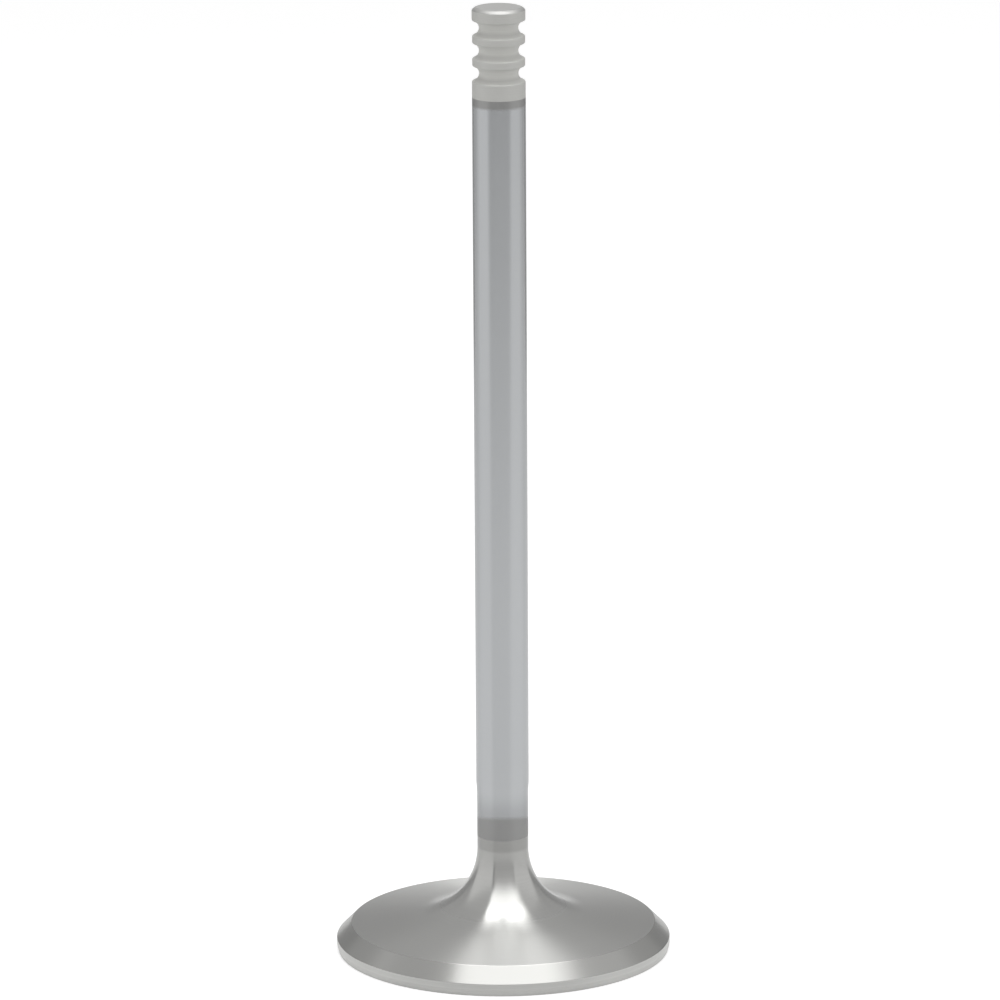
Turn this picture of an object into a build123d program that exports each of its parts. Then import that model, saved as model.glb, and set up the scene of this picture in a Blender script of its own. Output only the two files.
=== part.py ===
"""Poppet valve of a piston engine, in millimetres.

One forged and ground piece of steel: a flat round head with a 45 degree seat, a tulip neck, and a
straight stem whose end carries a row of round-bottomed grooves for the split keepers. It stands on
its head: the combustion face lies in the XY plane, centred on the origin, and the stem points up +Z.
"""

import math
import os

from build123d import *

# Stem
OVERALL_LENGTH = 127.6     # combustion face to stem end
STEM_DIAMETER = 7.0        # ground size that runs in the guide
TIP_CHAMFER = 0.4          # edge of the hardened end that the rocker presses

# Keeper grooves, counted down from the stem end
GROOVE_COUNT = 3
GROOVE_PITCH = 3.0
GROOVE_RADIUS = 1.0        # round bottom of each groove
GROOVE_DEPTH = 0.925       # below the ground stem
FIRST_GROOVE_DROP = 2.75   # stem end to the middle of the first groove
LAND_CLEARANCE = 0.05      # the lands between grooves lie this far under the stem surface
LAND_EDGE_RADIUS = 0.2     # rolled shoulder on each side of a groove

# Head
HEAD_DIAMETER = 44.5
MARGIN_HEIGHT = 1.65       # combustion face to the lower edge of the seat
FACE_BEVEL_HEIGHT = 0.75   # steep bevel between the margin and the combustion face
FACE_BEVEL_DEPTH = 0.2     # how much smaller in radius the face is than the margin
SEAT_WIDTH = 2.0           # measured along the radius
SEAT_ANGLE = 45.0          # from the plane of the head

# Neck
UNDERHEAD_ANGLE = 8.7      # slope of the back of the head, from the plane of the head
NECK_RADIUS = 9.0          # tulip curve from the back of the head up into the stem
NECK_UNDERCUT = 0.1        # the neck is turned this far under the stem surface
UNDERCUT_TOP = 21.6        # height at which the undercut starts to run out
UNDERCUT_RUNOUT = 1.5      # length of the cone that brings it back to the stem

stem_radius = STEM_DIAMETER / 2
head_radius = HEAD_DIAMETER / 2
neck_stem_radius = stem_radius - NECK_UNDERCUT
land_radius = stem_radius - LAND_CLEARANCE

# Heights and radii on the head
seat_rise = SEAT_WIDTH * math.tan(math.radians(SEAT_ANGLE))
seat_inner_radius = head_radius - SEAT_WIDTH
seat_top = MARGIN_HEIGHT + seat_rise
underhead_run = seat_inner_radius - neck_stem_radius
underhead_top = seat_top + underhead_run * math.tan(math.radians(UNDERHEAD_ANGLE))

# Groove centres: each circle is sunk so that its bottom lies GROOVE_DEPTH under the stem
groove_centre_radius = stem_radius - GROOVE_DEPTH + GROOVE_RADIUS
first_groove_height = OVERALL_LENGTH - FIRST_GROOVE_DROP
last_groove_height = first_groove_height - (GROOVE_COUNT - 1) * GROOVE_PITCH
groove_centres = [
    (groove_centre_radius, first_groove_height - number * GROOVE_PITCH)
    for number in range(GROOVE_COUNT)
]
groove_zone_bottom = last_groove_height - 2 * GROOVE_RADIUS

# Corners that are dressed after the section is drawn
neck_corner = (neck_stem_radius, underhead_top)
tip_corner = (stem_radius, OVERALL_LENGTH)

# Half of the lengthwise section, from the axis out and up
section_corners = [
    (0, 0),
    (head_radius - FACE_BEVEL_DEPTH, 0),
    (head_radius, FACE_BEVEL_HEIGHT),
    (head_radius, MARGIN_HEIGHT),
    (seat_inner_radius, seat_top),
    neck_corner,
    (neck_stem_radius, UNDERCUT_TOP),
    (stem_radius, UNDERCUT_TOP + UNDERCUT_RUNOUT),
    (stem_radius, last_groove_height),
    (land_radius, last_groove_height),
    (land_radius, first_groove_height),
    (stem_radius, first_groove_height),
    tip_corner,
    (0, OVERALL_LENGTH),
]

with BuildPart() as engine_valve:
    with BuildSketch(Plane.XZ) as half_section:
        with BuildLine():
            Polyline(*section_corners, close=True)
        make_face()

        def corner_at(point):
            """The vertex of the section nearest to a (radius, height) point."""
            return half_section.vertices().sort_by_distance(Vector(*point))[0]

        fillet(corner_at(neck_corner), radius=NECK_RADIUS)
        chamfer(corner_at(tip_corner), length=TIP_CHAMFER)

        # Each groove is a round-bottomed slot, open outwards past the stem surface
        with Locations(*groove_centres):
            Circle(GROOVE_RADIUS, mode=Mode.SUBTRACT)
            Rectangle(
                2 * GROOVE_RADIUS,
                2 * GROOVE_RADIUS,
                align=(Align.MIN, Align.CENTER),
                mode=Mode.SUBTRACT,
            )
        groove_shoulders = (
            half_section.vertices()
            .filter_by_position(Axis.Y, groove_zone_bottom, OVERALL_LENGTH - 2 * TIP_CHAMFER)
            .filter_by_position(Axis.X, stem_radius - 0.5 * GROOVE_DEPTH, stem_radius + LAND_CLEARANCE)
        )
        fillet(groove_shoulders, radius=LAND_EDGE_RADIUS)
    revolve(axis=Axis.Z)

engine_valve.part.label = "engine_valve"

os.makedirs("parts", exist_ok=True)
export_step(engine_valve.part, "parts/engine_valve.step")
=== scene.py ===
import math

import bmesh
import bpy
from mathutils import Matrix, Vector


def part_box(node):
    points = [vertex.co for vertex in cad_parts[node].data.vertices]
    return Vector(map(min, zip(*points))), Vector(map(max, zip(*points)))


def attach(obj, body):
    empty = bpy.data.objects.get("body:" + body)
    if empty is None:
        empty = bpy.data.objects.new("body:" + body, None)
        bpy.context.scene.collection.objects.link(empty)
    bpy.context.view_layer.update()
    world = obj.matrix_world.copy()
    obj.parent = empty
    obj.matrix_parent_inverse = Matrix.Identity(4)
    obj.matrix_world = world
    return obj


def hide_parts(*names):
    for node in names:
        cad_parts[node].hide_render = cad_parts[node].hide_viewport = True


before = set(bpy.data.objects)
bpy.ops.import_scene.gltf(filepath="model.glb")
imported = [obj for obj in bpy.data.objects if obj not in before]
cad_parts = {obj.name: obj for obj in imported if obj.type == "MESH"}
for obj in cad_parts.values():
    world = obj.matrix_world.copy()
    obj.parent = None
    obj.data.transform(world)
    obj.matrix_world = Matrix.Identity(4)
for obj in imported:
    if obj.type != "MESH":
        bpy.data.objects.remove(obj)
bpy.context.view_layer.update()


# ---------------------------------------------------------------------------------------------
# Engine valve
# One piece of valve steel. The head is upset and forged, then the whole valve is turned, its seat
# and stem are ground, and the stem is hard-chromed between two masked edges.

MM = 0.001

valve_low, valve_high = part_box("engine_valve")
HEAD_RADIUS = (valve_high[0] - valve_low[0]) / 2
VALVE_LENGTH = valve_high[2]

FACE_BEVEL_HEIGHT = 0.75 * MM
FACE_BEVEL_DEPTH = 0.2 * MM
MARGIN_HEIGHT = 1.65 * MM
SEAT_WIDTH = 2.0 * MM
UNDERHEAD_ANGLE = math.radians(8.7)
NECK_RADIUS = 9.0 * MM
STEM_RADIUS = 3.5 * MM
NECK_STEM_RADIUS = STEM_RADIUS - 0.1 * MM
UNDERCUT_TOP = 21.6 * MM
UNDERCUT_RUNOUT = 1.5 * MM

GROOVE_COUNT = 3
GROOVE_PITCH = 3.0 * MM
GROOVE_RADIUS = 1.0 * MM
GROOVE_DEPTH = 0.925 * MM
FIRST_GROOVE_DROP = 2.75 * MM
LAND_RADIUS = STEM_RADIUS - 0.05 * MM
LAND_EDGE_RADIUS = 0.2 * MM
TIP_CHAMFER = 0.4 * MM

PLATING_MASK = 15.6 * MM
CHROME_BOTTOM = 18.78 * MM
CHROME_TOP = VALVE_LENGTH - 11.9 * MM

SHARP_CORNER = math.radians(30)
BROKEN_EDGE = 0.06 * MM
TIP_ROUNDING = 0.38 * MM
FLAT_GUARD = 0.03 * MM
ARC_STEP = math.radians(4)
NECK_STEP = math.radians(2)
LATHE_SIDES = 288
EDGE_STEPS = 4
WELD_DISTANCE = 0.0002 * MM


def arc(centre, radius, start, end, widest_step=ARC_STEP):
    """Points on an arc in the (radius, height) plane, angles in degrees from the outward radius."""
    start, end = math.radians(start), math.radians(end)
    steps = max(2, math.ceil(abs(end - start) / widest_step))
    angles = [start + (end - start) * step / steps for step in range(steps + 1)]
    return [(centre[0] + radius * math.cos(a), centre[1] + radius * math.sin(a)) for a in angles]


def towards(start, end, distance):
    """The point that lies a distance from start on the way to end."""
    share = distance / math.dist(start, end)
    return tuple(a + (b - a) * share for a, b in zip(start, end))


def broken(before, corner, after, size):
    """A sharp corner of the section with its edge lightly rounded, as a stone or a file leaves it.
    A guard point on either side keeps the shading of the flats beside it flat."""
    points = [towards(corner, before, size + FLAT_GUARD)]
    for step in range(EDGE_STEPS + 1):
        t = step / EDGE_STEPS
        weights = ((1 - t) ** 2, 2 * t * (1 - t), t ** 2)
        points.append(tuple(
            weights[0] * a + weights[1] * c + weights[2] * b
            for a, c, b in zip(towards(corner, before, size), corner, towards(corner, after, size))
        ))
    return points + [towards(corner, after, size + FLAT_GUARD)]


def head_section():
    """The head and neck, from the middle of the combustion face up to the undercut stem."""
    seat_inner = (HEAD_RADIUS - SEAT_WIDTH, MARGIN_HEIGHT + SEAT_WIDTH)
    corner_height = seat_inner[1] + (seat_inner[0] - NECK_STEM_RADIUS) * math.tan(UNDERHEAD_ANGLE)
    turn = math.pi / 2 - UNDERHEAD_ANGLE
    neck_centre = (NECK_STEM_RADIUS + NECK_RADIUS, corner_height + NECK_RADIUS * math.tan(turn / 2))
    neck = arc(neck_centre, NECK_RADIUS, 180 + math.degrees(turn), 180, NECK_STEP)
    corners = [
        (0, 0),
        (HEAD_RADIUS - FACE_BEVEL_DEPTH, 0),
        (HEAD_RADIUS, FACE_BEVEL_HEIGHT),
        (HEAD_RADIUS, MARGIN_HEIGHT),
        seat_inner,
        neck[0],
    ]
    points = [corners[0]]
    for before, corner, after in zip(corners, corners[1:], corners[2:]):
        points += broken(before, corner, after, BROKEN_EDGE)
    points.append(towards(neck[0], seat_inner, FLAT_GUARD))
    return points + neck


def keeper_groove(height):
    """One round-bottomed groove with its two rolled shoulders, walked upwards."""
    centre = (STEM_RADIUS - GROOVE_DEPTH + GROOVE_RADIUS, height)
    top_groove = height > VALVE_LENGTH - FIRST_GROOVE_DROP - GROOVE_PITCH / 2
    bottom_groove = height < VALVE_LENGTH - FIRST_GROOVE_DROP - (GROOVE_COUNT - 1.5) * GROOVE_PITCH
    below = STEM_RADIUS if bottom_groove else LAND_RADIUS
    above = STEM_RADIUS if top_groove else LAND_RADIUS
    points = []
    for side, surface in ((-1, below), (1, above)):
        reach = GROOVE_RADIUS + LAND_EDGE_RADIUS
        rise = math.sqrt(reach ** 2 - (centre[0] - surface + LAND_EDGE_RADIUS) ** 2)
        shoulder = (surface - LAND_EDGE_RADIUS, height + side * rise)
        lean = math.degrees(math.atan2(rise, centre[0] - shoulder[0]))
        if side < 0:
            points += arc(shoulder, LAND_EDGE_RADIUS, 0, lean)
            bottom_start = 180 + lean
        else:
            points += arc(centre, GROOVE_RADIUS, bottom_start, 180 - lean)[1:-1]
            points += arc(shoulder, LAND_EDGE_RADIUS, -lean, 0)
    return points


def stem_section():
    """The stem, from the run-out of the undercut up to the middle of the stem end."""
    points = [
        (NECK_STEM_RADIUS, PLATING_MASK),
        (NECK_STEM_RADIUS, UNDERCUT_TOP),
        (STEM_RADIUS, UNDERCUT_TOP + UNDERCUT_RUNOUT),
        (STEM_RADIUS, UNDERCUT_TOP + UNDERCUT_RUNOUT + BROKEN_EDGE),
        (STEM_RADIUS, CHROME_TOP),
    ]
    for groove in reversed(range(GROOVE_COUNT)):
        points += keeper_groove(VALVE_LENGTH - FIRST_GROOVE_DROP - groove * GROOVE_PITCH)
    chamfer = [(STEM_RADIUS, VALVE_LENGTH - TIP_CHAMFER), (STEM_RADIUS - TIP_CHAMFER, VALVE_LENGTH)]
    points += broken(points[-1], chamfer[0], chamfer[1], BROKEN_EDGE)
    points += broken(chamfer[0], chamfer[1], (0, VALVE_LENGTH), TIP_ROUNDING)
    return points + [(0, VALVE_LENGTH)]


def section_mesh(name, points):
    """The half section as a line of vertices in the XZ plane."""
    mesh = bpy.data.meshes.new(name)
    edges = [(place, place + 1) for place in range(len(points) - 1)]
    mesh.from_pydata([(radius, 0, height) for radius, height in points], edges, [])
    return mesh


# The finishes. Every pattern follows the lathe: it depends on the distance from the axis and the
# height, so the fine lines run round the valve as the tool left them.

def new_finish(name):
    """An empty node material with its Principled shader."""
    finish = bpy.data.materials.new(name)
    finish.use_nodes = True
    return finish, finish.node_tree.nodes, finish.node_tree.links


def add_math(nodes, links, operation, *values):
    """A Math node; each value is a number or an output socket."""
    node = nodes.new("ShaderNodeMath")
    node.operation = operation
    for socket, value in zip(node.inputs, values):
        if isinstance(value, (int, float)):
            socket.default_value = value
        else:
            links.new(value, socket)
    return node.outputs[0]


def lathe_place(nodes, links):
    """Of a point on the valve, in metres: distance along the section, height, depth away from
    the camera's side, distance from the axis."""
    place = nodes.new("ShaderNodeTexCoord").outputs["Object"]
    split = nodes.new("ShaderNodeSeparateXYZ")
    links.new(place, split.inputs[0])
    across = add_math(nodes, links, "MULTIPLY", split.outputs["X"], split.outputs["X"])
    deep = add_math(nodes, links, "MULTIPLY", split.outputs["Y"], split.outputs["Y"])
    radius = add_math(nodes, links, "SQRT", add_math(nodes, links, "ADD", across, deep))
    along = add_math(nodes, links, "SUBTRACT", radius, split.outputs["Z"])
    return along, split.outputs["Z"], split.outputs["Y"], radius


# The values between which most of the tool marks' noise lies
TOOL_MARKS = (0.3, 0.7)


def tool_lines(nodes, links, along, pitch, detail=2.0):
    """A value that changes from one tool mark to the next, about pitch metres apart."""
    lines = nodes.new("ShaderNodeTexNoise")
    lines.noise_dimensions = "1D"
    lines.inputs["Scale"].default_value = 1.0
    lines.inputs["Detail"].default_value = detail
    links.new(add_math(nodes, links, "MULTIPLY", along, 1 / pitch), lines.inputs["W"])
    return lines.outputs["Fac"]


def spread(nodes, links, value, low, high, to_low, to_high):
    """The value moved from one range to another, held at its ends."""
    node = nodes.new("ShaderNodeMapRange")
    node.inputs["From Min"].default_value = low
    node.inputs["From Max"].default_value = high
    node.inputs["To Min"].default_value = to_low
    node.inputs["To Max"].default_value = to_high
    links.new(value, node.inputs["Value"])
    return node.outputs["Result"]


def tint(nodes, links, factor, dark, light):
    """A colour between two tones."""
    node = nodes.new("ShaderNodeMix")
    node.data_type = "RGBA"
    node.inputs["A"].default_value = (*dark, 1)
    node.inputs["B"].default_value = (*light, 1)
    links.new(factor, node.inputs["Factor"])
    return node.outputs["Result"]


def soft_step(nodes, links, value, low, high):
    """0 below low and 1 above high, with a soft change between them."""
    result = spread(nodes, links, value, low, high, 0, 1)
    result.node.interpolation_type = "SMOOTHSTEP"
    return result


def stretch(nodes, links, height, low, high, soft):
    """1 between two heights and 0 outside them, with soft borders."""
    return add_math(nodes, links, "MULTIPLY",
                    soft_step(nodes, links, height, low - soft / 2, low + soft / 2),
                    soft_step(nodes, links, height, high + soft / 2, high - soft / 2))


def blend(nodes, links, factor, under, over):
    """A colour socket laid over another one by a factor; over is a plain colour."""
    node = nodes.new("ShaderNodeMix")
    node.data_type = "RGBA"
    links.new(factor, node.inputs["Factor"])
    links.new(under, node.inputs["A"])
    node.inputs["B"].default_value = (*over, 1)
    return node.outputs["Result"]


def radial_lay(nodes, links, shader, along_the_turn):
    """Lets the tool lines, which run round the valve, draw every highlight out across them. The
    rotation is in turns: a quarter lays the highlight across the lines."""
    shader.inputs["Anisotropic"].default_value = along_the_turn
    shader.inputs["Anisotropic Rotation"].default_value = 0.25
    around = nodes.new("ShaderNodeTangent")
    around.direction_type = "RADIAL"
    around.axis = "Z"
    links.new(around.outputs["Tangent"], shader.inputs["Tangent"])


# Inside the keeper grooves: the flanks that look up get a painted shade, and all is a little
# rougher
UPWARD_FLANK_PAINTED_SHADE = (0.68, 0.68, 0.662)
GROOVE_EDGE = (LAND_RADIUS - 0.05 * MM, LAND_RADIUS - 0.25 * MM)
GROOVE_ROUGHER = 0.2
FLANK_LOOKS_UP = 0.7


def lathe_metal(name, dark, light, roughness, pitch, relief, along_the_turn, recess_painted_light=None):
    """Bare turned or ground steel with fine tool lines. recess_painted_light is painted light: a
    lighter tone deep in the keeper grooves, whose upward flanks get a painted shade, a darker one."""
    finish, nodes, links = new_finish(name)
    shader = nodes["Principled BSDF"]
    shader.inputs["Metallic"].default_value = 1.0
    along, _, _, radius = lathe_place(nodes, links)
    lines = tool_lines(nodes, links, along, pitch)
    metal = tint(nodes, links, spread(nodes, links, lines, *TOOL_MARKS, 0, 1), dark, light)
    if recess_painted_light is not None:
        # Painted light: deep in the grooves the tone is lighter
        recess_light_mask = soft_step(nodes, links, radius, LAND_RADIUS, STEM_RADIUS - GROOVE_DEPTH)
        metal = blend(nodes, links, recess_light_mask, metal, recess_painted_light)
        inside = soft_step(nodes, links, radius, *GROOVE_EDGE)
        # Painted shade: the flanks inside the grooves that look up are darkened
        facing = nodes.new("ShaderNodeSeparateXYZ")
        links.new(nodes.new("ShaderNodeNewGeometry").outputs["Normal"], facing.inputs[0])
        flank_shade_mask = soft_step(nodes, links, facing.outputs["Z"], 0.0, FLANK_LOOKS_UP)
        metal = blend(nodes, links, add_math(nodes, links, "MULTIPLY", inside, flank_shade_mask), metal,
                      UPWARD_FLANK_PAINTED_SHADE)
    links.new(metal, shader.inputs["Base Color"])
    rough = spread(nodes, links, lines, *TOOL_MARKS, roughness[0], roughness[1])
    if recess_painted_light is not None:
        rough = add_math(nodes, links, "MULTIPLY_ADD", inside, GROOVE_ROUGHER, rough)
    links.new(rough, shader.inputs["Roughness"])
    bump = nodes.new("ShaderNodeBump")
    bump.inputs["Distance"].default_value = relief
    links.new(lines, bump.inputs["Height"])
    links.new(bump.outputs["Normal"], shader.inputs["Normal"])
    radial_lay(nodes, links, shader, along_the_turn)
    return finish


BACK_DARK = (0.52, 0.52, 0.505)
BACK_LIGHT = (0.56, 0.56, 0.545)
BACK_ROUGHNESS = 0.42
NECK_TONE = (0.46, 0.46, 0.447)
NECK_ROUGHNESS = 0.19
# Heights between which the roughness and then the tone of the back change to those of the neck
NECK_SMOOTHS = (4.2 * MM, 7.0 * MM)
NECK_DARKENS = (10.2 * MM, 14.2 * MM)
NECK_DULL_LOW = 13.9 * MM
NECK_DULL_SOFT = (NECK_DULL_LOW - 0.15 * MM, NECK_DULL_LOW + 0.4 * MM)
NECK_DULL_TONE = (0.38, 0.38, 0.369)
BACK_PITCH = 0.15 * MM
BACK_GRAIN = 0.01
BACK_LAY = 0.95
OIL_WEIGHT = 0.5
OIL_ROUGHNESS = 0.22


def turned_neck():
    """The back of the head is left as turned, the neck is blended smooth above it and dull
    again just under the plating. A film of oil lies over both."""
    finish, nodes, links = new_finish("turned_back")
    shader = nodes["Principled BSDF"]
    shader.inputs["Metallic"].default_value = 1.0
    along, height, _, _ = lathe_place(nodes, links)
    lines = tool_lines(nodes, links, along, BACK_PITCH)
    metal = tint(nodes, links, spread(nodes, links, lines, *TOOL_MARKS, 0, 1),
                 BACK_DARK, BACK_LIGHT)
    fading = soft_step(nodes, links, height, *NECK_DARKENS)
    metal = blend(nodes, links, fading, metal, NECK_TONE)
    dull = soft_step(nodes, links, height, *NECK_DULL_SOFT)
    links.new(blend(nodes, links, dull, metal, NECK_DULL_TONE), shader.inputs["Base Color"])
    smooth = soft_step(nodes, links, height, *NECK_SMOOTHS)
    rough = spread(nodes, links, smooth, 0, 1, BACK_ROUGHNESS, NECK_ROUGHNESS)
    grain = spread(nodes, links, lines, *TOOL_MARKS, -BACK_GRAIN, BACK_GRAIN)
    links.new(add_math(nodes, links, "ADD", rough, grain), shader.inputs["Roughness"])
    radial_lay(nodes, links, shader, BACK_LAY)
    shader.inputs["Coat Weight"].default_value = OIL_WEIGHT
    shader.inputs["Coat Roughness"].default_value = OIL_ROUGHNESS
    return finish


CHROME_DARK = (0.545, 0.558, 0.57)
CHROME_LIGHT = (0.575, 0.588, 0.6)
CHROME_PITCH = 0.25 * MM
CHROME_ROUGHNESS = (0.19, 0.22)
# A painted shade on the chrome just above the masked stretch: its tone, and the height over which
# it fades out
LOW_CHROME_PAINTED_SHADE = (0.455, 0.465, 0.475)
PAINTED_SHADE_HEIGHT = 3.6 * MM
MASKED_TONE = (0.345, 0.345, 0.342)
MASK_SOFT = 0.4 * MM
MASK_TILT = 0.22
RING_BELOW = 1.1 * MM
RING_ABOVE = 1 * MM
RING_SOFT = 0.5 * MM
RING_TONE = (0.375, 0.375, 0.37)
DULL_ROUGHER = 0.16


def plated_stem():
    """Hard chrome, polished. Its lower end is dull over the masked stretch of the undercut, with a
    painted shade above it that fades out slowly; its upper end is a narrow dark ring."""
    finish, nodes, links = new_finish("hard_chrome")
    shader = nodes["Principled BSDF"]
    shader.inputs["Metallic"].default_value = 1.0
    along, height, depth, _ = lathe_place(nodes, links)
    lines = tool_lines(nodes, links, along, CHROME_PITCH)
    bright = tint(nodes, links, lines, CHROME_DARK, CHROME_LIGHT)
    # Painted shade, darkest at the bottom of the chrome and fading out upward
    low_chrome_shade = soft_step(nodes, links, height, CHROME_BOTTOM + PAINTED_SHADE_HEIGHT, CHROME_BOTTOM)
    bright = blend(nodes, links, low_chrome_shade, bright, LOW_CHROME_PAINTED_SHADE)
    tilted = add_math(nodes, links, "MULTIPLY_ADD", depth, MASK_TILT, height)
    edge = CHROME_BOTTOM - MASK_TILT * NECK_STEM_RADIUS
    masked = soft_step(nodes, links, tilted, edge + MASK_SOFT, edge - MASK_SOFT)
    bright = blend(nodes, links, masked, bright, MASKED_TONE)
    ring = stretch(nodes, links, height, CHROME_TOP - RING_BELOW, CHROME_TOP + RING_ABOVE,
                   RING_SOFT)
    links.new(blend(nodes, links, ring, bright, RING_TONE), shader.inputs["Base Color"])
    dull = add_math(nodes, links, "MAXIMUM", masked, ring)
    links.new(add_math(nodes, links, "ADD",
                       spread(nodes, links, lines, *TOOL_MARKS, *CHROME_ROUGHNESS),
                       add_math(nodes, links, "MULTIPLY", dull, DULL_ROUGHER)),
              shader.inputs["Roughness"])
    return finish


turned_face = lathe_metal("turned_face", (0.53, 0.53, 0.515), (0.59, 0.59, 0.575), (0.3, 0.36),
                          0.2 * MM, 0.002 * MM, 0.6)
ground_seat = lathe_metal("ground_seat", (0.48, 0.48, 0.465), (0.5, 0.5, 0.485), (0.2, 0.23),
                          0.1 * MM, 0.0001 * MM, 0.0)
turned_back = turned_neck()
hard_chrome = plated_stem()
# The stem end's grooves get painted light deep inside and painted shade on their upward flanks
bare_end = lathe_metal("bare_stem_end", (0.62, 0.62, 0.6), (0.66, 0.66, 0.64), (0.66, 0.72),
                       0.12 * MM, 0.001 * MM, 0.0, recess_painted_light=(0.8, 0.8, 0.78))
# The chamfer and its rounding at the stem end are darker than the steel beside them: a painted
# shade that dims the highlight there
tip_edge_painted_shade = lathe_metal("tip_edge_painted_shade", (0.49, 0.49, 0.477), (0.52, 0.52, 0.507), (0.5, 0.54),
                       0.12 * MM, 0.0005 * MM, 0.0)
ground_tip = lathe_metal("ground_tip", (0.63, 0.63, 0.613), (0.67, 0.67, 0.652), (0.34, 0.38),
                         0.12 * MM, 0.0005 * MM, 0.0)

# Each finish ends at this height
FINISHES = (
    (turned_face, MARGIN_HEIGHT),
    (ground_seat, MARGIN_HEIGHT + SEAT_WIDTH),
    (turned_back, PLATING_MASK),
    (hard_chrome, CHROME_TOP),
    (bare_end, VALVE_LENGTH - TIP_CHAMFER),
    (tip_edge_painted_shade, VALVE_LENGTH - 0.02 * MM),
    (ground_tip, None),
)


def lathe_tree():
    """Turns a half section into a closed body: a grid with one column for each section point and
    one row for each side, every vertex taken from the section and turned about the axis."""
    tree = bpy.data.node_groups.new("lathe", "GeometryNodeTree")
    face = tree.interface
    face.new_socket("Section", in_out="INPUT", socket_type="NodeSocketGeometry")
    sides_socket = face.new_socket("Sides", in_out="INPUT", socket_type="NodeSocketInt")
    sides_socket.default_value = 64
    corner_socket = face.new_socket("Sharp Corner", in_out="INPUT", socket_type="NodeSocketFloat")
    corner_socket.default_value = SHARP_CORNER
    face.new_socket("Body", in_out="OUTPUT", socket_type="NodeSocketGeometry")
    nodes, links = tree.nodes, tree.links

    def node(kind, **settings):
        made = nodes.new(kind)
        for key, value in settings.items():
            setattr(made, key, value)
        return made

    def whole(operation, a, b):
        made = node("ShaderNodeMath", operation=operation)
        for socket, value in zip(made.inputs, (a, b)):
            if isinstance(value, (int, float)):
                socket.default_value = value
            else:
                links.new(value, socket)
        return made.outputs[0]

    given = node("NodeGroupInput")
    size = node("GeometryNodeAttributeDomainSize", component="MESH")
    links.new(given.outputs["Section"], size.inputs[0])
    points = size.outputs["Point Count"]
    rows = whole("ADD", given.outputs["Sides"], 1)

    grid = node("GeometryNodeMeshGrid")
    links.new(points, grid.inputs["Vertices X"])
    links.new(rows, grid.inputs["Vertices Y"])

    index = node("GeometryNodeInputIndex").outputs[0]
    column = whole("FLOOR", whole("DIVIDE", whole("ADD", index, 0.5), rows), 0)
    row = whole("SUBTRACT", index, whole("MULTIPLY", column, rows))
    turn = whole("DIVIDE", whole("MULTIPLY", row, 2 * math.pi), given.outputs["Sides"])

    position = node("GeometryNodeInputPosition")
    sample = node("GeometryNodeSampleIndex", data_type="FLOAT_VECTOR", domain="POINT")
    links.new(given.outputs["Section"], sample.inputs["Geometry"])
    links.new(position.outputs[0], sample.inputs["Value"])
    links.new(column, sample.inputs["Index"])
    rotate = node("ShaderNodeVectorRotate", rotation_type="Z_AXIS")
    links.new(sample.outputs["Value"], rotate.inputs["Vector"])
    links.new(turn, rotate.inputs["Angle"])
    place = node("GeometryNodeSetPosition")
    links.new(grid.outputs["Mesh"], place.inputs["Geometry"])
    links.new(rotate.outputs["Vector"], place.inputs["Position"])

    merge = node("GeometryNodeMergeByDistance")
    merge.inputs["Distance"].default_value = WELD_DISTANCE
    links.new(place.outputs["Geometry"], merge.inputs["Geometry"])
    smooth = node("GeometryNodeSetShadeSmooth", domain="FACE")
    links.new(merge.outputs["Geometry"], smooth.inputs["Geometry"])
    angle = node("GeometryNodeInputMeshEdgeAngle")
    corner = node("FunctionNodeCompare", data_type="FLOAT", operation="GREATER_THAN")
    links.new(angle.outputs["Unsigned Angle"], corner.inputs[0])
    links.new(given.outputs["Sharp Corner"], corner.inputs[1])
    sharp = node("GeometryNodeSetShadeSmooth", domain="EDGE")
    sharp.inputs["Shade Smooth"].default_value = False
    links.new(smooth.outputs["Geometry"], sharp.inputs["Geometry"])
    links.new(corner.outputs["Result"], sharp.inputs["Selection"])
    body = node("GeometryNodeRealizeInstances")
    links.new(sharp.outputs["Geometry"], body.inputs["Geometry"])

    # From the top down, so that each lower finish covers the one above it
    height = node("ShaderNodeSeparateXYZ")
    links.new(position.outputs[0], height.inputs[0])
    last = body.outputs["Geometry"]
    for finish, top in reversed(FINISHES):
        dress = node("GeometryNodeSetMaterial")
        dress.inputs["Material"].default_value = finish
        if top is not None:
            under = node("FunctionNodeCompare", data_type="FLOAT", operation="LESS_THAN")
            links.new(height.outputs["Z"], under.inputs[0])
            under.inputs[1].default_value = top
            links.new(under.outputs["Result"], dress.inputs["Selection"])
        links.new(last, dress.inputs["Geometry"])
        last = dress.outputs["Geometry"]
    result = node("NodeGroupOutput")
    links.new(last, result.inputs["Body"])
    return tree


def turned_on_a_lathe(name, points):
    """A plain mesh object, turned from its half section by the lathe tree."""
    blank = bpy.data.objects.new(name + "_section", section_mesh(name + "_section", points))
    bpy.context.scene.collection.objects.link(blank)
    lathe = blank.modifiers.new("lathe", "NODES")
    lathe.node_group = lathe_tree()
    sockets = {item.name: item.identifier for item in lathe.node_group.interface.items_tree}
    lathe[sockets["Sides"]] = LATHE_SIDES
    lathe[sockets["Sharp Corner"]] = SHARP_CORNER
    evaluated = blank.evaluated_get(bpy.context.evaluated_depsgraph_get())
    mesh = bpy.data.meshes.new_from_object(evaluated)
    mesh.name = name
    bpy.data.objects.remove(blank)
    piece = bpy.data.objects.new(name, mesh)
    bpy.context.scene.collection.objects.link(piece)
    return piece


def face_outwards(piece):
    """Makes every face of a closed piece point out of it."""
    work = bmesh.new()
    work.from_mesh(piece.data)
    bmesh.ops.recalc_face_normals(work, faces=work.faces)
    work.to_mesh(piece.data)
    work.free()


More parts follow.
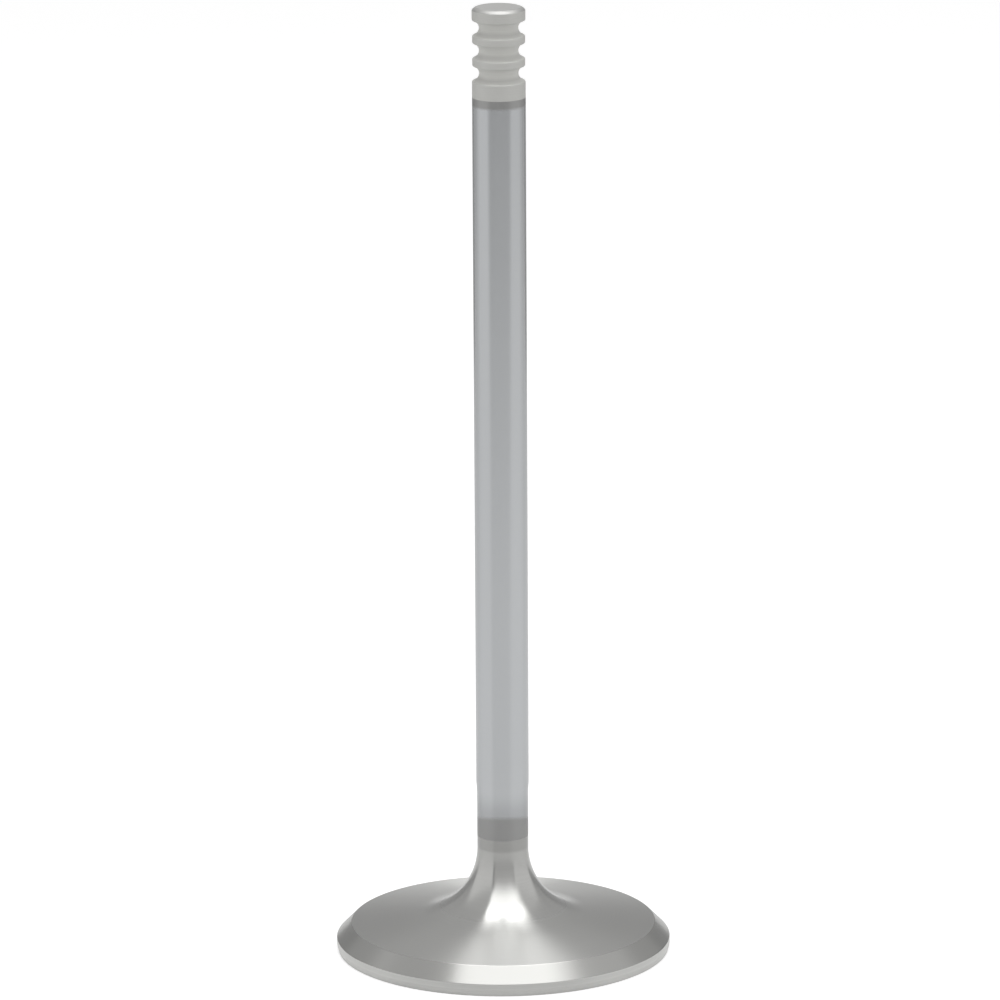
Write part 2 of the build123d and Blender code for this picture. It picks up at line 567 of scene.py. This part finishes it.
valve = turned_on_a_lathe("turned_valve", head_section() + stem_section())
face_outwards(valve)
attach(valve, "root")
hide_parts("engine_valve")


# ---------------------------------------------------------------------------------------------
# Floor and surroundings
# A white sweep table under a white studio. The floor takes the valve's soft shadow.

FLOOR_HALF = 4.0
FLOOR_GLOW = 0.6
FLOOR_TONE = 0.59

# The floor's own glow as metal sees it, against the distance from the valve in metres
GLOW_REACH = 0.6
GLOW_LEFT = ((0.1, 0.295), (0.4, 0.335), (0.53, 0.385))
GLOW_RIGHT = ((0.1, 0.29), (0.19, 0.32), (0.53, 0.325))
GLOW_FRONT = ((0.1, 0.21), (0.19, 0.222), (0.3, 0.18), (0.45, 0.123), (0.56, 0.06))
GLOW_BACK = ((0.06, 0.19), (0.1, 0.25), (0.53, 0.1))
GLOW_UNDER = 0.08
GLOW_NEAR = 0.1
GLOW_FAR = 0.53
# Azimuths in degrees: the sides of the front sector near and far, and where the back begins
FRONT_LEFT = (-44, -47)
FRONT_RIGHT = (35, 50)
FRONT_SOFT = 16
BACK_FROM = (90, 125)
# The floor beside the head glows a little more, out to this many head radii
BESIDE_HEAD = 1.6
# Half the width, in radians, of the change from the left side to the right one
MIDDLE_SOFT = 0.1


def around_valve(nodes, links, place):
    """(azimuth from the camera's side in radians, left negative; the place split in X, Y, Z)."""
    split = nodes.new("ShaderNodeSeparateXYZ")
    links.new(place, split.inputs[0])
    nearer = add_math(nodes, links, "MULTIPLY", split.outputs["Y"], -1)
    return add_math(nodes, links, "ARCTAN2", split.outputs["X"], nearer), split


def sector(nodes, links, turn, left, right, soft):
    """1 between two azimuths, sockets or degrees, with soft sides."""
    half = math.radians(soft) / 2
    left, right = (math.radians(limit) if isinstance(limit, (int, float)) else limit
                   for limit in (left, right))
    past_left = add_math(nodes, links, "SUBTRACT", turn, left)
    short_of_right = add_math(nodes, links, "SUBTRACT", right, turn)
    return add_math(nodes, links, "MULTIPLY",
                    soft_step(nodes, links, past_left, -half, half),
                    soft_step(nodes, links, short_of_right, -half, half))


def ramp(nodes, links, value, stops_wanted):
    """A grey tone against a value from 0 to 1."""
    node = nodes.new("ShaderNodeValToRGB")
    links.new(value, node.inputs["Fac"])
    stops = node.color_ramp.elements
    while len(stops) < len(stops_wanted):
        stops.new(0.5)
    for stop, (place, tone) in zip(stops, stops_wanted):
        stop.position = place
        stop.color = (tone, tone, tone, 1)
    return node.outputs["Color"]


def lay_over(nodes, links, factor, under, over):
    """A value mixed into another one."""
    node = nodes.new("ShaderNodeMix")
    links.new(factor, node.inputs["Factor"])
    for name, value in (("A", under), ("B", over)):
        if isinstance(value, (int, float)):
            node.inputs[name].default_value = value
        else:
            links.new(value, node.inputs[name])
    return node.outputs["Result"]


def white_floor():
    """A matt white sheet that is never darker than its own glow to the camera. Metal sees it
    dimmer in front, where the camera stands in its light, and far behind the valve."""
    mesh = bpy.data.meshes.new("floor")
    corners = [(x * FLOOR_HALF, y * FLOOR_HALF, 0) for x, y in ((-1, -1), (1, -1), (1, 1), (-1, 1))]
    mesh.from_pydata(corners, [], [(0, 1, 2, 3)])
    floor = bpy.data.objects.new("floor", mesh)
    bpy.context.scene.collection.objects.link(floor)
    finish, nodes, links = new_finish("white_sheet")
    shader = nodes["Principled BSDF"]
    shader.inputs["Base Color"].default_value = (FLOOR_TONE,) * 3 + (1,)
    shader.inputs["Roughness"].default_value = 1.0
    shader.inputs["Specular IOR Level"].default_value = 0.0
    shader.inputs["Emission Color"].default_value = (1, 1, 1, 1)
    place = nodes.new("ShaderNodeTexCoord").outputs["Object"]
    turn, _ = around_valve(nodes, links, place)
    reach = nodes.new("ShaderNodeVectorMath")
    reach.operation = "LENGTH"
    links.new(place, reach.inputs[0])
    reach = reach.outputs["Value"]
    out = add_math(nodes, links, "DIVIDE", reach, GLOW_REACH)
    left_side, right_side, front, back = (
        ramp(nodes, links, out, [(distance / GLOW_REACH, tone) for distance, tone in stops])
        for stops in (GLOW_LEFT, GLOW_RIGHT, GLOW_FRONT, GLOW_BACK)
    )
    to_right = soft_step(nodes, links, turn, -MIDDLE_SOFT, MIDDLE_SOFT)
    side = lay_over(nodes, links, to_right, left_side, right_side)
    left, right = (
        spread(nodes, links, reach, GLOW_NEAR, GLOW_FAR, math.radians(near), math.radians(far))
        for near, far in (FRONT_LEFT, FRONT_RIGHT)
    )
    glow = lay_over(nodes, links, sector(nodes, links, turn, left, right, FRONT_SOFT), side,
                    front)
    aside = add_math(nodes, links, "ABSOLUTE", turn)
    behind = soft_step(nodes, links, aside, *map(math.radians, BACK_FROM))
    glow = lay_over(nodes, links, behind, glow, back)
    beside = soft_step(nodes, links, reach, BESIDE_HEAD * HEAD_RADIUS, HEAD_RADIUS)
    glow = add_math(nodes, links, "ADD", glow,
                    add_math(nodes, links, "MULTIPLY", beside, GLOW_UNDER))
    path = nodes.new("ShaderNodeLightPath")
    seen = add_math(nodes, links, "MAXIMUM", path.outputs["Is Camera Ray"],
                    path.outputs["Is Transmission Ray"])
    seen = add_math(nodes, links, "MULTIPLY", seen, FLOOR_GLOW)
    mirrored = add_math(nodes, links, "MULTIPLY", path.outputs["Is Glossy Ray"], glow)
    links.new(add_math(nodes, links, "ADD", seen, mirrored), shader.inputs["Emission Strength"])
    mesh.materials.append(finish)


white_floor()

# Elevations in degrees and the brightness that metal sees there, on each side of the studio
SKY_LEFT = ((-90, 0.83), (34, 0.83), (45, 0.6), (60, 0.58), (90, 0.55))
SKY_RIGHT = ((-90, 0.8), (32, 0.8), (44, 0.7), (60, 0.7), (90, 0.55))
SKY_FRONT = ((-90, 0.56), (32, 0.54), (40, 0.52), (90, 0.55))
SKY_SEAM = ((-90, 0.36), (40, 0.36), (50, 0.52), (90, 0.55))
SKY_BACK = ((-90, 0.36), (10, 0.36), (14, 0.47), (30, 0.5), (90, 0.55))
SKY_REAR = ((-90, 1.25), (3, 1.25), (6.6, 0.46), (22, 0.47), (34, 0.55), (60, 0.6), (90, 0.55))
SKY_FILL = 0.55
# Azimuths in degrees of the studio's parts, with the softness of a sector's sides
FRONT_WALL = (-41, 47, 6)
WALL_SEAM = (-40, -34, 3)
BACK_WALL_FROM = (112, 124)
FAR_END_FROM = (152, 164)


def sky_ramp(nodes, links, sine, stops):
    """Brightness against the sine of the elevation."""
    return ramp(nodes, links, spread(nodes, links, sine, -1, 1, 0, 1),
                [((math.sin(math.radians(elevation)) + 1) / 2, tone) for elevation, tone in stops])


def mixed(nodes, links, factor, under, over):
    """One colour socket laid over another."""
    node = nodes.new("ShaderNodeMix")
    node.data_type = "RGBA"
    links.new(factor, node.inputs["Factor"])
    links.new(under, node.inputs["A"])
    links.new(over, node.inputs["B"])
    return node.outputs["Result"]


def studio_sky():
    """White to the camera. Metal sees light walls at the sides, a dimmer end where the camera
    stands and a bright low strip behind."""
    world = bpy.data.worlds.new("studio")
    bpy.context.scene.world = world
    world.use_nodes = True
    nodes, links = world.node_tree.nodes, world.node_tree.links
    background = nodes["Background"]
    place = nodes.new("ShaderNodeTexCoord").outputs["Generated"]
    turn, split = around_valve(nodes, links, place)
    left, right, front, seam, back, rear = (
        sky_ramp(nodes, links, split.outputs["Z"], stops)
        for stops in (SKY_LEFT, SKY_RIGHT, SKY_FRONT, SKY_SEAM, SKY_BACK, SKY_REAR)
    )
    aside = add_math(nodes, links, "ABSOLUTE", turn)
    behind = soft_step(nodes, links, aside, *map(math.radians, BACK_WALL_FROM))
    far_end = soft_step(nodes, links, aside, *map(math.radians, FAR_END_FROM))
    to_right = soft_step(nodes, links, turn, -MIDDLE_SOFT, MIDDLE_SOFT)
    walls = mixed(nodes, links, to_right, left, right)
    walls = mixed(nodes, links, sector(nodes, links, turn, *FRONT_WALL), walls, front)
    walls = mixed(nodes, links, sector(nodes, links, turn, *WALL_SEAM), walls, seam)
    walls = mixed(nodes, links, behind, walls, back)
    walls = mixed(nodes, links, far_end, walls, rear)
    path = nodes.new("ShaderNodeLightPath")
    fill = nodes.new("ShaderNodeRGB").outputs[0]
    fill.default_value = (SKY_FILL,) * 3 + (1,)
    white = nodes.new("ShaderNodeRGB").outputs[0]
    white.default_value = (1, 1, 1, 1)
    tone = mixed(nodes, links, path.outputs["Is Glossy Ray"], fill, walls)
    seen = add_math(nodes, links, "MAXIMUM", path.outputs["Is Camera Ray"],
                    path.outputs["Is Transmission Ray"])
    links.new(mixed(nodes, links, seen, tone, white), background.inputs["Color"])


studio_sky()


# ---------------------------------------------------------------------------------------------
# Lights
# Three soft boxes light the floor and give the valve its shadow, and the metal doesn't mirror
# them. It mirrors a shaped panel overhead, which draws the bright wedge on the neck and the arc on
# the seat, and two grey cards that stand behind it on the table.

def soft_box(name, place, size, brightness):
    """A rectangular lamp that faces the valve. brightness is its radiance: 1 is white."""
    lamp = bpy.data.lights.new(name, "AREA")
    lamp.shape = "RECTANGLE"
    lamp.size, lamp.size_y = size
    lamp.energy = brightness * math.pi * size[0] * size[1]
    box = bpy.data.objects.new(name, lamp)
    box.location = place
    down = -box.location.normalized()
    box.rotation_euler = down.to_track_quat("-Z", "Y").to_euler()
    bpy.context.scene.collection.objects.link(box)
    return box


for lamp in (
    soft_box("overhead_box", (0.015, -0.1, 0.66), (0.57, 0.72), 1.28),
    soft_box("overhead_lamp", (0.02, 0.06, 0.65), (0.4, 0.34), 1.4),
    soft_box("side_fill", (0.38, -0.1, 0.62), (0.14, 0.5), 0.45),
):
    lamp.visible_glossy = False


PANEL_HEIGHT = 0.66
PANEL_TONE = 3.6
PANEL_NEAR = -1.05
PANEL_FAR = 1.2
PANEL_SIDES = (-0.6, 0.7)
# Shares of its reach to a side between which the panel fades in
LEFT_EDGE = (1.12, 0.89)
RIGHT_EDGE = (1.45, 0.6)
# Against the distance behind the valve: how far the panel reaches to either side, its strength
PANEL_LEFT = ((-0.6, 0.38), (-0.3, 0.36), (-0.23, 0.29), (-0.165, 0.265), (0, 0.225), (0.1, 0.19),
              (0.216, 0.148), (0.48, 0.068), (0.97, 0.037))
PANEL_RIGHT = ((-0.6, 0.52), (-0.3, 0.5), (-0.2, 0.4), (-0.14, 0.325), (-0.08, 0.325),
               (0, 0.305), (0.06, 0.275), (0.19, 0.235), (0.25, 0.205), (0.31, 0.18),
               (0.515, 0.112), (1.0, 0.06))
PANEL_STRENGTH = ((-1, 0), (-0.85, 0.065), (-0.66, 0.2), (-0.5, 0.32), (-0.42, 0.45),
                  (-0.35, 0.48), (-0.27, 0.415), (-0.12, 0.415), (-0.05, 0.96), (0.1, 0.96),
                  (0.2, 0.47), (0.3, 0.33), (0.4, 0.23), (0.55, 0.14), (0.75, 0.107),
                  (1.0, 0.1))


def overhead_panel():
    """The soft box as metal mirrors it: wide at the camera's end, closing to the rear, with a
    crisp left edge and a soft right one."""
    mesh = bpy.data.meshes.new("overhead_panel")
    corners = [(x, y, PANEL_HEIGHT) for x, y in (
        (PANEL_SIDES[0], PANEL_NEAR), (PANEL_SIDES[1], PANEL_NEAR),
        (PANEL_SIDES[1], PANEL_FAR), (PANEL_SIDES[0], PANEL_FAR))]
    mesh.from_pydata(corners, [], [(0, 1, 2, 3)])
    panel = bpy.data.objects.new("overhead_panel", mesh)
    bpy.context.scene.collection.objects.link(panel)
    finish, nodes, links = new_finish("overhead_panel")
    nodes.remove(nodes["Principled BSDF"])
    split = nodes.new("ShaderNodeSeparateXYZ")
    links.new(nodes.new("ShaderNodeTexCoord").outputs["Object"], split.inputs[0])
    deep = spread(nodes, links, split.outputs["Y"], PANEL_NEAR, PANEL_FAR, 0, 1)
    left, right, strength = (
        ramp(nodes, links, deep,
             [((place - PANEL_NEAR) / (PANEL_FAR - PANEL_NEAR), value) for place, value in stops])
        for stops in (PANEL_LEFT, PANEL_RIGHT, PANEL_STRENGTH)
    )
    right_share = add_math(nodes, links, "DIVIDE", split.outputs["X"], right)
    left_share = add_math(nodes, links, "DIVIDE", split.outputs["X"], left)
    left_share = add_math(nodes, links, "MULTIPLY", left_share, -1)
    shape = add_math(nodes, links, "MULTIPLY",
                     soft_step(nodes, links, left_share, *LEFT_EDGE),
                     soft_step(nodes, links, right_share, *RIGHT_EDGE))
    glow = nodes.new("ShaderNodeEmission")
    glow.inputs["Strength"].default_value = PANEL_TONE
    mix = nodes.new("ShaderNodeMixShader")
    links.new(add_math(nodes, links, "MULTIPLY", shape, strength), mix.inputs[0])
    links.new(nodes.new("ShaderNodeBsdfTransparent").outputs[0], mix.inputs[1])
    links.new(glow.outputs[0], mix.inputs[2])
    links.new(mix.outputs[0], nodes["Material Output"].inputs["Surface"])
    mesh.materials.append(finish)
    panel.visible_camera = False
    panel.visible_diffuse = False
    panel.visible_shadow = False


overhead_panel()


def grey_card(name, corners, tone):
    """A card that only metal sees, given by its corners."""
    mesh = bpy.data.meshes.new(name)
    mesh.from_pydata(corners, [], [tuple(range(len(corners)))])
    card = bpy.data.objects.new(name, mesh)
    bpy.context.scene.collection.objects.link(card)
    finish, nodes, links = new_finish(name)
    nodes.remove(nodes["Principled BSDF"])
    glow = nodes.new("ShaderNodeEmission")
    glow.inputs["Strength"].default_value = tone
    links.new(glow.outputs[0], nodes["Material Output"].inputs["Surface"])
    mesh.materials.append(finish)
    card.visible_camera = False
    card.visible_diffuse = False
    card.visible_shadow = False


def from_camera(reach, degrees, height):
    """A point at a distance and height, turned about the valve from the camera's side."""
    turn = math.radians(degrees)
    return (reach * math.sin(turn), -reach * math.cos(turn), height)


TABLE_GAP = 0.002
BACK_CARD_TONE = 0.36
BACK_CARD_REACH = 0.35
BACK_CARD_SIDES = (138, 170)
BACK_CARD_TOP = 0.12

for side in (-1, 1):
    grey_card(
        "back_card_left" if side < 0 else "back_card_right",
        [from_camera(BACK_CARD_REACH, side * BACK_CARD_SIDES[place], height)
         for place, height in
         ((0, TABLE_GAP), (1, TABLE_GAP), (1, BACK_CARD_TOP), (0, BACK_CARD_TOP))],
        BACK_CARD_TONE,
    )


# ---------------------------------------------------------------------------------------------
# Camera
# A long lens a metre away, a little above the valve and looking down at it.

CAMERA_TARGET_HEIGHT = 0.063
CAMERA_DISTANCE = 1.0312
CAMERA_RISE = math.radians(14.048)
CAMERA_TILT = math.radians(14.126)
CAMERA_ROLL = math.radians(-0.302)
FOCAL_PIXELS = 7821
FRAME_PIXELS = 1000
SIDE_PIXELS = 1.02
SENSOR_WIDTH = 36

lens = bpy.data.cameras.new("camera")
lens.sensor_width = SENSOR_WIDTH
lens.lens = lens.sensor_width * FOCAL_PIXELS / FRAME_PIXELS
lens.shift_x = -SIDE_PIXELS / FRAME_PIXELS
camera = bpy.data.objects.new("camera", lens)
camera.location = (
    0,
    -CAMERA_DISTANCE * math.cos(CAMERA_RISE),
    CAMERA_TARGET_HEIGHT + CAMERA_DISTANCE * math.sin(CAMERA_RISE),
)
aim = Matrix.Rotation(math.pi / 2 - CAMERA_TILT, 3, "X") @ Matrix.Rotation(CAMERA_ROLL, 3, "Z")
camera.rotation_euler = aim.to_euler()
bpy.context.scene.collection.objects.link(camera)
bpy.context.scene.camera = camera

bpy.context.scene.view_settings.view_transform = "Standard"
